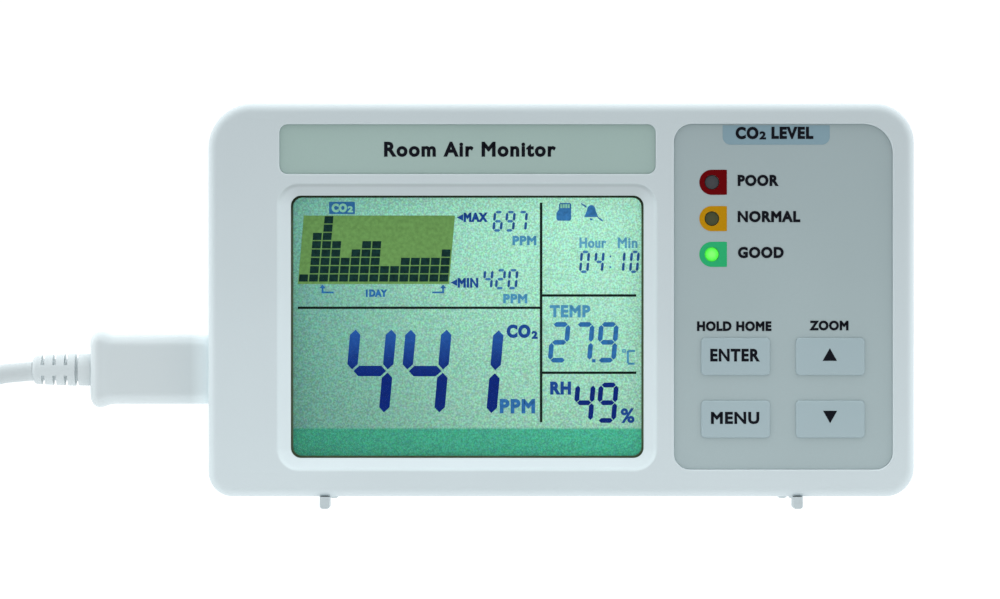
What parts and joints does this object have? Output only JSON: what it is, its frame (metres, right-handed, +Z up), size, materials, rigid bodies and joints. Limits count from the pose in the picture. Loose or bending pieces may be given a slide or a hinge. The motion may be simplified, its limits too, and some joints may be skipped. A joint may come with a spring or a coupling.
{
  "type": "carbon dioxide monitor",
  "caption": "Flat desk or wall carbon dioxide monitor: graph display in a sloped dish, keys and lamps on a side panel, swivel feet, power lead.",
  "frame": {"origin": "on the table under the middle of the monitor's own box, feet included and lead left out", "axes": "+X along the case towards the keys, +Y from the display to the back, +Z up"},
  "size_m": [0.2994, 0.0743, 0.0943],
  "materials": {
    "case_plastic": "fine matt moulded white plastic",
    "nameplate_film": "satin grey-green plate",
    "panel_film": "satin grey printed film",
    "key_plastic": "satin grey, printed legends",
    "window_clear": "clear scratch-resistant pane",
    "gasket_rubber": "black foam rubber",
    "lcd_glass": "green backlit liquid crystal, sparkling anti-glare film",
    "white_board": "white diffuser plastic",
    "dark_plastic": "black plastic",
    "circuit_board": "green solder mask",
    "bright_steel": "plated steel",
    "gold_plate": "gold-plated tube",
    "lamp_clear": "clear glass bulb",
    "lamp_dark": "tinted lamp, off",
    "lamp_green": "green lamp, lit",
    "label_paper": "blank silver-white label",
    "lead_plastic": "soft white cable plastic",
    "tie_plastic": "black wire tie"
  },
  "bodies": {
    "monitor": {"front_case": "case_plastic", "rear_cover": "case_plastic", "nameplate": "nameplate_film", "key_panel": "panel_film", "display_window": "window_clear", "window_gasket": "gasket_rubber", "lcd_glass": "lcd_glass", "backlight_panel": "white_board", "lcd_frame": "white_board", "contact_strip_lower": "gasket_rubber", "contact_strip_upper": "gasket_rubber", "main_board": "circuit_board", "gas_sensor_board": "circuit_board", "microcontroller": "dark_plastic", "sounder": "dark_plastic", "battery_holder": "dark_plastic", "gas_sensor_header": "dark_plastic", "clock_battery": "bright_steel", "card_socket": "bright_steel", "power_socket": "bright_steel", "gas_sensor_detector": "bright_steel", "climate_sensor": "white_board", "gas_sensor_tube": "gold_plate", "gas_sensor_lamp": "lamp_clear", "led_poor": "lamp_dark", "led_normal": "lamp_dark", "led_good": "lamp_green", "rating_label": "label_paper", "switch_enter": "dark_plastic", "switch_menu": "dark_plastic", "switch_up": "dark_plastic", "switch_down": "dark_plastic", "case_screw_1": "bright_steel", "board_screw_1": "bright_steel", "case_screw_2": "bright_steel", "board_screw_2": "bright_steel", "case_screw_3": "bright_steel", "board_screw_3": "bright_steel", "case_screw_4": "bright_steel", "board_screw_4": "bright_steel"},
    "enter_key": {"key_enter": "key_plastic"},
    "menu_key": {"key_menu": "key_plastic"},
    "up_key": {"key_up": "key_plastic"},
    "down_key": {"key_down": "key_plastic"},
    "left_foot": {"foot_left": "case_plastic"},
    "right_foot": {"foot_right": "case_plastic"},
    "card": {"memory_card": "dark_plastic"},
    "power_lead": {"power_plug": "lead_plastic", "power_plug_shell": "bright_steel", "strain_relief": "lead_plastic", "lead_cord": "lead_plastic", "lead_coil": "lead_plastic", "lead_tail": "lead_plastic", "coil_tie": "tie_plastic", "far_plug": "lead_plastic", "far_plug_shell": "bright_steel"}
  },
  "joints": [
    {"name": "enter_press", "type": "slide", "parent": "monitor", "child": "enter_key", "axis": [0, 1, 0], "range_m": [0, 0.0005], "stiffness_N_per_m": 1500},
    {"name": "menu_press", "type": "slide", "parent": "monitor", "child": "menu_key", "axis": [0, 1, 0], "range_m": [0, 0.0005], "stiffness_N_per_m": 1500},
    {"name": "up_press", "type": "slide", "parent": "monitor", "child": "up_key", "axis": [0, 1, 0], "range_m": [0, 0.0005], "stiffness_N_per_m": 1500},
    {"name": "down_press", "type": "slide", "parent": "monitor", "child": "down_key", "axis": [0, 1, 0], "range_m": [0, 0.0005], "stiffness_N_per_m": 1500},
    {"name": "left_foot_swivel", "type": "hinge", "parent": "monitor", "child": "left_foot", "pos_m": [-0.055, -0.014, 0], "axis": [0, 0, 1], "range_deg": [-90, 0]},
    {"name": "right_foot_swivel", "type": "hinge", "parent": "monitor", "child": "right_foot", "pos_m": [0.055, -0.014, 0], "axis": [0, 0, 1], "range_deg": [0, 90]},
    {"name": "card_slide", "type": "slide", "parent": "monitor", "child": "card", "axis": [1, 0, 0], "range_m": [0, 0.012]},
    {"name": "plug_pull", "type": "slide", "parent": "monitor", "child": "power_lead", "axis": [-1, 0, 0], "range_m": [0, 0.009]}
  ]
}
